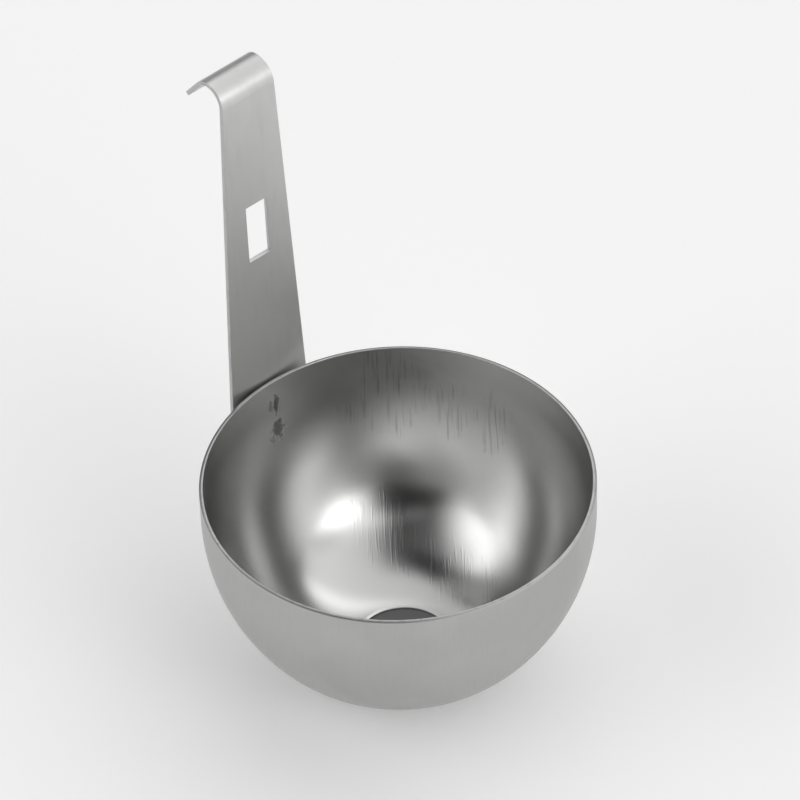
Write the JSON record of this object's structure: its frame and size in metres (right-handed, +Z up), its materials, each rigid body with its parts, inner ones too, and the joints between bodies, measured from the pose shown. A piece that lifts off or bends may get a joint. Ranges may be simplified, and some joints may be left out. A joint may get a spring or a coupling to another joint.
{
  "type": "egg poacher cup",
  "caption": "Deep round steel cup with a drain hole in its base and a flat slotted strip handle bent over into a hook, for lowering an egg into hot water.",
  "frame": {"origin": "on the surface that the cup stands on, under the middle of the whole cup's box, handle included", "axes": "+Z up along the bowl's axis, +Y from the bowl towards the handle, +X along the handle's width"},
  "size_m": [0.067, 0.0794, 0.105],
  "materials": {
    "bowl_steel": "polished inside with fine vertical drawing streaks, satin outside",
    "handle_steel": "satin sheet",
    "weld_metal": "dull grey spot weld"
  },
  "bodies": {
    "root": {"bowl": "bowl_steel", "hook_handle": "handle_steel", "spot_weld_upper": "weld_metal", "spot_weld_lower": "weld_metal"}
  },
  "joints": []
}
